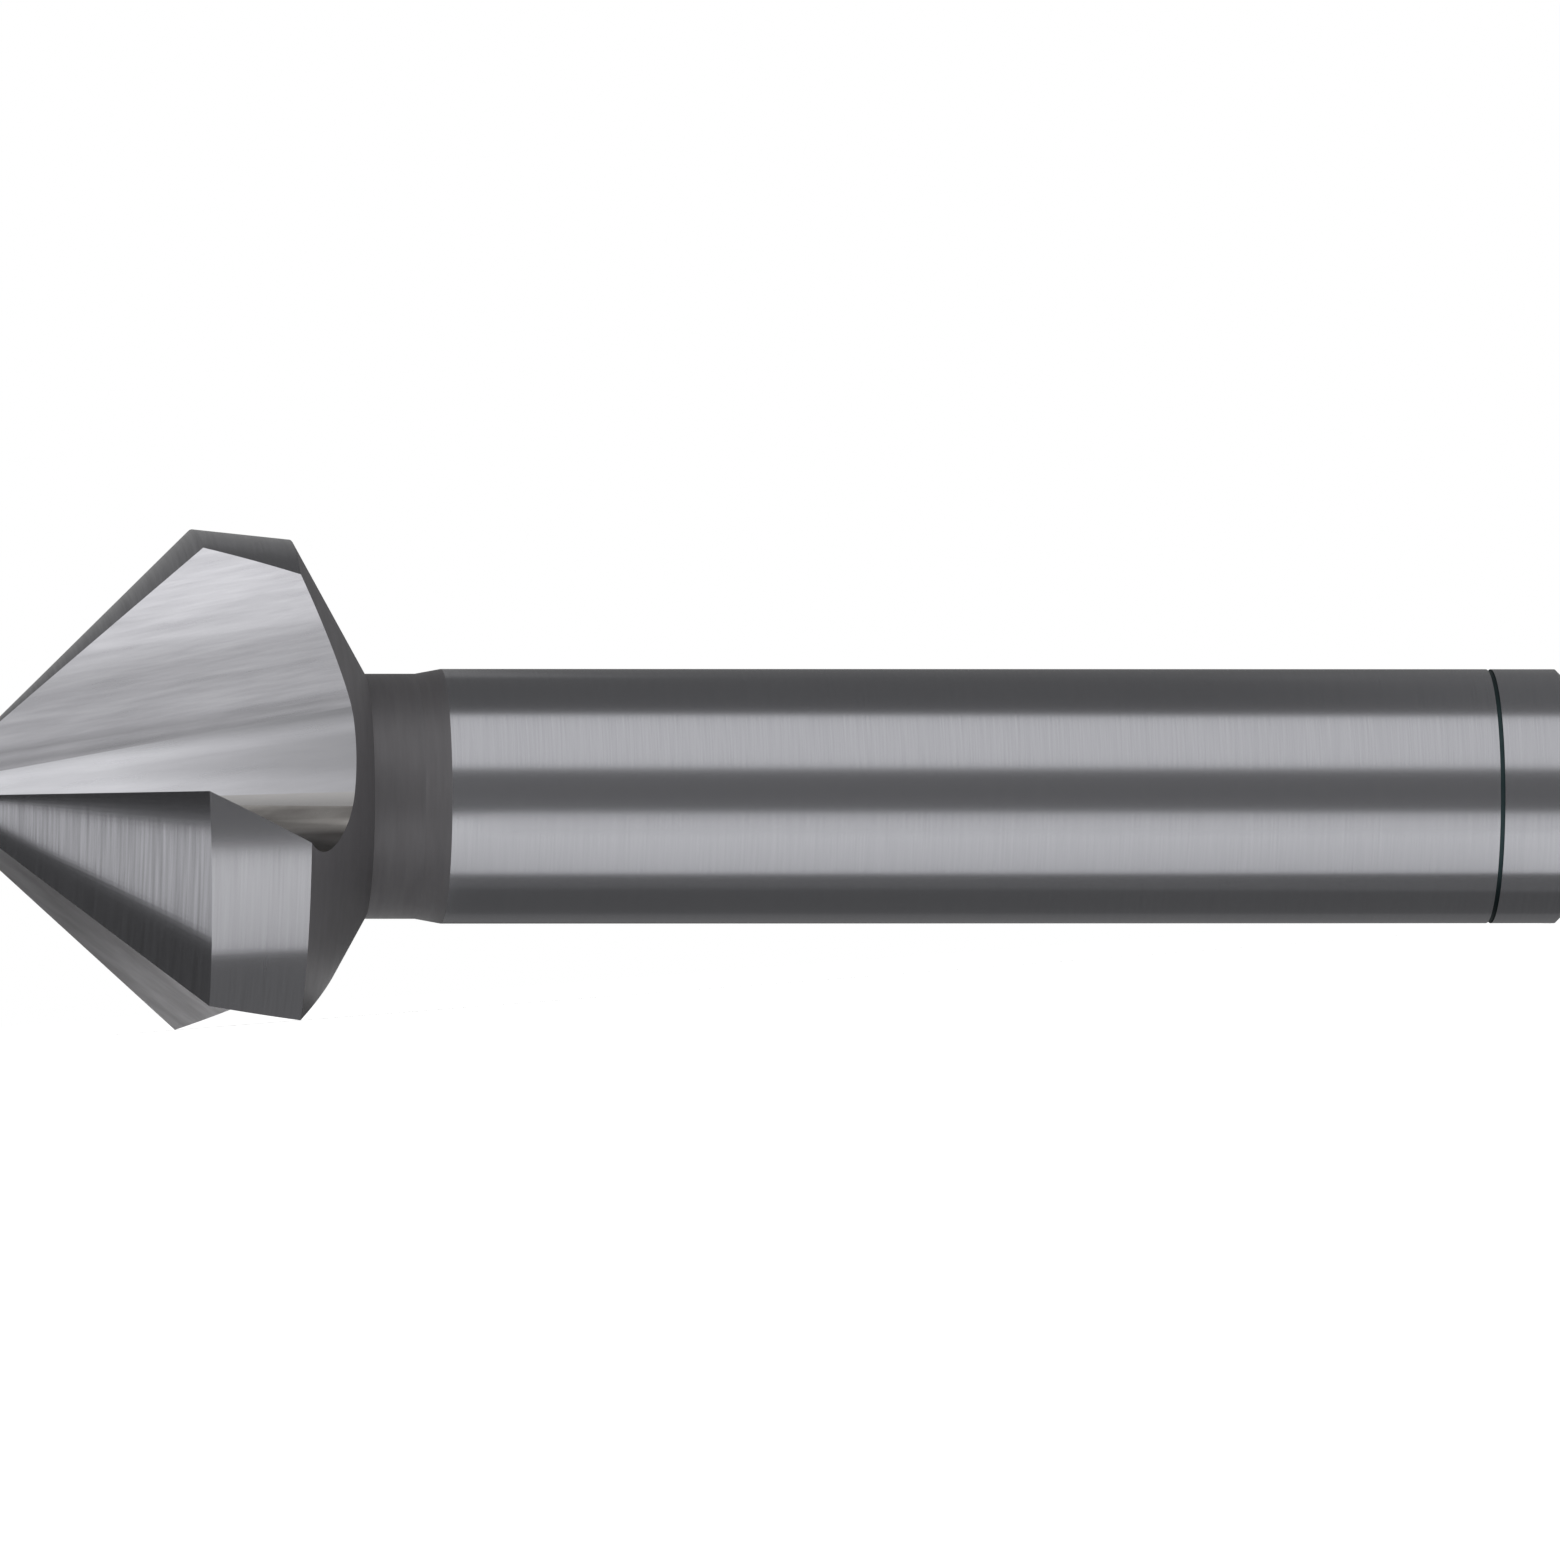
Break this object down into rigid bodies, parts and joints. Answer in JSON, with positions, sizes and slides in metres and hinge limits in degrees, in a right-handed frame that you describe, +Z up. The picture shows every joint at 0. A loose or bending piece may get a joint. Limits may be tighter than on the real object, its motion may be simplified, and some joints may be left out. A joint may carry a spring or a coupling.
{
  "type": "countersink bit",
  "caption": "Ninety degree fluted countersink bit of ground tool steel, with a short neck and a straight cylindrical shank.",
  "frame": {"origin": "centre of the footprint at the height of the bench, with the bit lying on its side at rest", "axes": "+X from the point towards the shank end, +Z up. The tool's own axis lies in the XZ plane and falls by 4.4 degrees towards the shank end, because the head is thicker than the shank"},
  "size_m": [0.0632, 0.0208, 0.0195],
  "materials": {
    "ground_steel": "bright ground tool steel, satin"
  },
  "bodies": {
    "root": {"countersink_bit": "ground_steel"}
  },
  "joints": []
}
